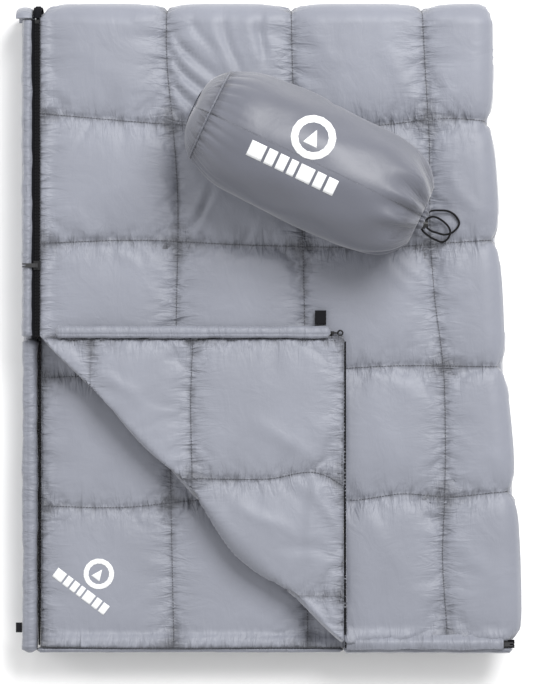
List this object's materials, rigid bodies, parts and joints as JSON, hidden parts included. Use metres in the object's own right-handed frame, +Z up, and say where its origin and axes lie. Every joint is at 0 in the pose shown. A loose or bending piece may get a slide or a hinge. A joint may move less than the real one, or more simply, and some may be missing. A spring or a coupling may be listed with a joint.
{
  "type": "camp quilt",
  "caption": "Quilted camp quilt lying folded, with a two-way side and foot zip, a turned-back corner, a hook-and-loop corner tab and a packed drawcord stuff sack on top.",
  "frame": {"origin": "middle of the folded quilt's outline, on the ground", "axes": "+X across the quilt to the side fold, +Y towards the fold at the head end, +Z up from the ground"},
  "size_m": [0.718, 0.9269, 0.2763],
  "materials": {
    "shell_fabric": "soft woven polyester with a faint sheen",
    "lining_fabric": "soft woven polyester with a faint sheen",
    "draft_tube_fabric": "soft woven polyester over a padded tube",
    "insulation": "lofted fibre filling",
    "zip_tape": "woven tape",
    "zip_coil": "satin moulded coil",
    "slider_metal": "black enamel",
    "pull_cover": "soft moulded cord pull",
    "hook_and_loop": "hook-and-loop webbing",
    "sack_fabric": "woven polyester with a soft sheen",
    "cord": "braided cord",
    "lock_plastic": "moulded plastic",
    "spring_steel": "bare wire"
  },
  "bodies": {
    "root": {"upper_shell": "shell_fabric", "upper_fill": "insulation", "upper_lining": "lining_fabric", "lower_shell": "shell_fabric", "lower_fill": "insulation", "lower_lining": "lining_fabric", "head_fold_roll": "shell_fabric", "corner_fold_roll": "lining_fabric", "side_draft_tube": "draft_tube_fabric", "lower_side_tube": "draft_tube_fabric", "foot_draft_tube": "draft_tube_fabric", "lower_foot_tube": "draft_tube_fabric", "side_tape_inner": "zip_tape", "side_tape_outer": "zip_tape", "side_coil_inner": "zip_coil", "side_coil_outer": "zip_coil", "side_top_stop": "zip_coil", "lower_side_coil": "zip_coil", "foot_tape_inner": "zip_tape", "foot_tape_outer": "zip_tape", "foot_coil_inner": "zip_coil", "foot_coil_outer": "zip_coil", "lower_foot_coil": "zip_coil", "edge_tab": "hook_and_loop"},
    "head_half": {"head_upper_shell": "shell_fabric", "head_upper_fill": "insulation", "head_upper_lining": "lining_fabric", "head_lower_shell": "shell_fabric", "head_lower_fill": "insulation", "head_lower_lining": "lining_fabric", "head_side_tube": "draft_tube_fabric"},
    "turned_corner": {"corner_shell": "shell_fabric", "corner_fill": "insulation", "corner_lining": "lining_fabric", "corner_draft_tube": "draft_tube_fabric", "corner_side_tape": "zip_tape", "corner_side_coil": "zip_coil", "corner_foot_coil": "zip_coil", "corner_tab_base": "hook_and_loop"},
    "side_slider": {"side_slider": "slider_metal"},
    "side_pull": {"side_pull": "pull_cover"},
    "foot_slider": {"foot_slider": "slider_metal"},
    "foot_pull": {"foot_pull": "pull_cover"},
    "corner_slider": {"corner_slider": "slider_metal"},
    "corner_ring_pull": {"corner_ring_pull": "pull_cover"},
    "corner_tab": {"corner_tab": "hook_and_loop"},
    "sack": {"sack_tube": "sack_fabric", "sack_base": "sack_fabric", "sack_base_piping": "sack_fabric", "sack_grab_strap": "sack_fabric", "sack_channel": "sack_fabric", "packed_bundle": "insulation", "drawcord": "cord", "cord_lock_barrel": "lock_plastic", "cord_lock_spring": "spring_steel"},
    "cord_lock_plunger": {"cord_lock_plunger": "lock_plastic"}
  },
  "joints": [
    {"name": "head_fold", "type": "hinge", "parent": "root", "child": "head_half", "pos_m": [0, 0.44, 0.05], "axis": [1, 0, 0], "range_deg": [0, 180], "deforming": ["head_fold_roll"]},
    {"name": "corner_fold", "type": "hinge", "parent": "root", "child": "turned_corner", "pos_m": [-0.167, -0.167, 0.1], "axis": [0.7071, -0.7071, 0], "range_deg": [0, 180], "deforming": ["corner_fold_roll"]},
    {"name": "side_slider_slide", "type": "slide", "parent": "root", "child": "side_slider", "axis": [0, 1, 0], "range_m": [-0.085, 0.335]},
    {"name": "side_pull_flip", "type": "hinge", "parent": "side_slider", "child": "side_pull", "pos_m": [-0.327, 0.089, 0.0994], "axis": [0, 1, 0], "range_deg": [0, 180]},
    {"name": "foot_slider_slide", "type": "slide", "parent": "root", "child": "foot_slider", "axis": [-1, 0, 0], "range_m": [0, 0.215]},
    {"name": "foot_pull_flip", "type": "hinge", "parent": "foot_slider", "child": "foot_pull", "pos_m": [0.336, -0.4495, 0.0994], "axis": [0, -1, 0], "range_deg": [0, 180]},
    {"name": "corner_slider_slide", "type": "slide", "parent": "turned_corner", "child": "corner_slider", "axis": [-1, 0, 0], "range_m": [0, 0.36]},
    {"name": "corner_ring_swing", "type": "hinge", "parent": "corner_slider", "child": "corner_ring_pull", "pos_m": [0.093, -0.007, 0.1081], "axis": [0, 0, 1], "range_deg": [0, 85]},
    {"name": "corner_tab_peel", "type": "hinge", "parent": "turned_corner", "child": "corner_tab", "pos_m": [0.068, 0.006, 0.103], "axis": [1, 0, 0], "range_deg": [0, 85]},
    {"name": "sack_lift", "type": "slide", "parent": "root", "child": "sack", "axis": [0, 0, 1], "range_m": [0, 0.4]},
    {"name": "cord_lock_press", "type": "slide", "parent": "sack", "child": "cord_lock_plunger", "axis": [-1, 0, 0], "range_m": [0, 0.0022], "stiffness_N_per_m": 400, "springref_m": -0.001, "deforming": ["cord_lock_spring"]}
  ]
}
